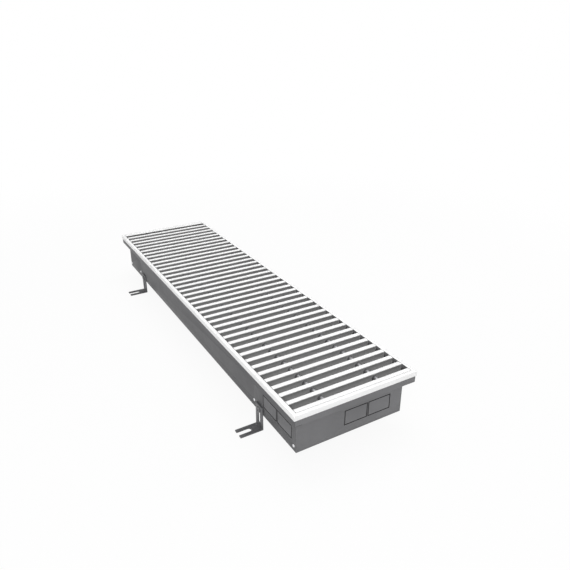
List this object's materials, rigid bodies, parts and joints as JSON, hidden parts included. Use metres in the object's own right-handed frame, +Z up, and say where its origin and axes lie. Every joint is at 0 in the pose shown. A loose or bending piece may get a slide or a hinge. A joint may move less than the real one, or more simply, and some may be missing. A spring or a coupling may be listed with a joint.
{
  "type": "trench convector heater",
  "caption": "Long in-floor heater: a steel trough on levelling feet holds a finned water exchanger and tangential fans under a framed cross-bar grille.",
  "frame": {"origin": "on the ground, below the middle of the trough", "axes": "+Z up, +Y along the trough away from the connections, +X towards the heat exchanger"},
  "size_m": [0.326, 1, 0.1282],
  "materials": {
    "trough_paint": "semi-matte dark grey powder coat",
    "end_paint": "semi-matte dark grey powder coat",
    "strip_rubber": "matt",
    "rivet_metal": "bright",
    "stud_red": "satin dark red",
    "bolt_dark": "dark",
    "foot_steel": "dark grey",
    "frame_white": "satin white",
    "grille_white": "satin white",
    "grille_metal": "satin grey",
    "fin_black": "matt near-black",
    "plate_grey": "matt grey",
    "copper": "satin",
    "pipe_grey": "matt grey",
    "vent_silver": "polished",
    "tray_grey": "satin",
    "shell_white": "satin white",
    "shell_dark": "satin dark grey",
    "fan_plate_grey": "satin light grey",
    "motor_grey": "satin mid grey",
    "ring_white": "gloss white",
    "blade_dark": "satin dark grey",
    "shaft_steel": "ground",
    "bridge_metal": "satin",
    "screw_bright": "bright",
    "box_grey": "satin grey",
    "guard_grey": "satin"
  },
  "bodies": {
    "trough": {"trough_channel": "trough_paint", "end_wall_near": "end_paint", "end_wall_far": "end_paint", "seat_rails": "trough_paint", "damping_strips": "strip_rubber", "partition_near": "trough_paint", "partition_far": "trough_paint", "knockout_plates": "end_paint", "rivets": "rivet_metal", "wall_studs": "stud_red", "foot_bolts": "bolt_dark", "exchanger_brackets": "end_paint"},
    "foot_near_left": {"foot_near_left": "foot_steel"},
    "foot_near_right": {"foot_near_right": "foot_steel"},
    "foot_far_left": {"foot_far_left": "foot_steel"},
    "foot_far_right": {"foot_far_right": "foot_steel"},
    "cover_frame": {"frame_left": "frame_white", "frame_right": "frame_white", "frame_near": "frame_white", "frame_far": "frame_white"},
    "grille": {"grille_bars": "grille_white", "grille_end_bars": "grille_white", "grille_spacers": "grille_metal", "grille_rods": "grille_metal"},
    "exchanger": {"fin_pack": "fin_black", "exchanger_plate_near": "plate_grey", "exchanger_plate_far": "plate_grey", "exchanger_tubes": "copper", "return_bend": "copper", "pipe_neck_left": "pipe_grey", "pipe_neck_right": "pipe_grey", "pipe_socket_left": "pipe_grey", "pipe_socket_right": "pipe_grey", "air_vent": "vent_silver"},
    "vent_key": {"vent_key": "vent_silver"},
    "fan_set": {"fan_tray": "tray_grey", "fan_front_shell_near": "shell_white", "fan_front_shell_far": "shell_white", "fan_rear_shell_near": "shell_dark", "fan_rear_shell_far": "shell_dark", "motor_plate_near": "fan_plate_grey", "motor_plate_far": "fan_plate_grey", "bearing_plate_near": "fan_plate_grey", "bearing_plate_far": "fan_plate_grey", "fan_motor_near": "motor_grey", "fan_motor_far": "motor_grey", "cap_ring_near": "ring_white", "cap_ring_far": "ring_white", "fan_bridge": "bridge_metal", "bridge_screws": "screw_bright", "terminal_box": "box_grey"},
    "impeller_near": {"impeller_near": "blade_dark", "fan_shaft_near": "shaft_steel"},
    "impeller_far": {"impeller_far": "blade_dark", "fan_shaft_far": "shaft_steel"},
    "control_box": {"control_box_base": "box_grey", "control_box_lid": "box_grey"},
    "guard_near": {"guard_near": "guard_grey"},
    "guard_far": {"guard_far": "guard_grey"}
  },
  "joints": [
    {"name": "grille_lift", "type": "slide", "parent": "trough", "child": "grille", "axis": [0, 0, 1], "range_m": [0, 0.32]},
    {"name": "cover_frame_lift", "type": "slide", "parent": "trough", "child": "cover_frame", "axis": [0, 0, 1], "range_m": [0, 0.0394]},
    {"name": "guard_near_lift", "type": "slide", "parent": "trough", "child": "guard_near", "axis": [0, 0, 1], "range_m": [0, 0.113]},
    {"name": "guard_far_lift", "type": "slide", "parent": "trough", "child": "guard_far", "axis": [0, 0, 1], "range_m": [0, 0.113]},
    {"name": "fan_set_lift", "type": "slide", "parent": "trough", "child": "fan_set", "axis": [0, 0, 1], "range_m": [0, 0.0906]},
    {"name": "control_box_lift", "type": "slide", "parent": "trough", "child": "control_box", "axis": [0, 0, 1], "range_m": [0, 0.0906]},
    {"name": "exchanger_lift", "type": "slide", "parent": "trough", "child": "exchanger", "axis": [0, 0, 1], "range_m": [0, 0.193]},
    {"name": "foot_near_left_height", "type": "slide", "parent": "trough", "child": "foot_near_left", "axis": [0, 0, -1], "range_m": [-0.02, 0]},
    {"name": "foot_near_right_height", "type": "slide", "parent": "trough", "child": "foot_near_right", "axis": [0, 0, -1], "range_m": [-0.02, 0]},
    {"name": "foot_far_left_height", "type": "slide", "parent": "trough", "child": "foot_far_left", "axis": [0, 0, -1], "range_m": [-0.02, 0]},
    {"name": "foot_far_right_height", "type": "slide", "parent": "trough", "child": "foot_far_right", "axis": [0, 0, -1], "range_m": [-0.02, 0]},
    {"name": "impeller_near_spin", "type": "hinge", "parent": "fan_set", "child": "impeller_near", "pos_m": [-0.066, 0, 0.0719], "axis": [0, 1, 0], "continuous": true},
    {"name": "impeller_far_spin", "type": "hinge", "parent": "fan_set", "child": "impeller_far", "pos_m": [-0.066, 0, 0.0719], "axis": [0, 1, 0], "continuous": true},
    {"name": "vent_key_turn", "type": "hinge", "parent": "exchanger", "child": "vent_key", "pos_m": [0.07, -0.331, 0.079], "axis": [1, 0, 0], "range_deg": [-60, 0]}
  ],
  "couplings": [
    {"joint": "cover_frame_lift", "follows": "grille_lift", "ratio": 0.12},
    {"joint": "guard_near_lift", "follows": "grille_lift", "ratio": 0.35},
    {"joint": "guard_far_lift", "follows": "grille_lift", "ratio": 0.35},
    {"joint": "fan_set_lift", "follows": "grille_lift", "ratio": 0.28},
    {"joint": "control_box_lift", "follows": "grille_lift", "ratio": 0.28},
    {"joint": "exchanger_lift", "follows": "grille_lift", "ratio": 0.6}
  ]
}
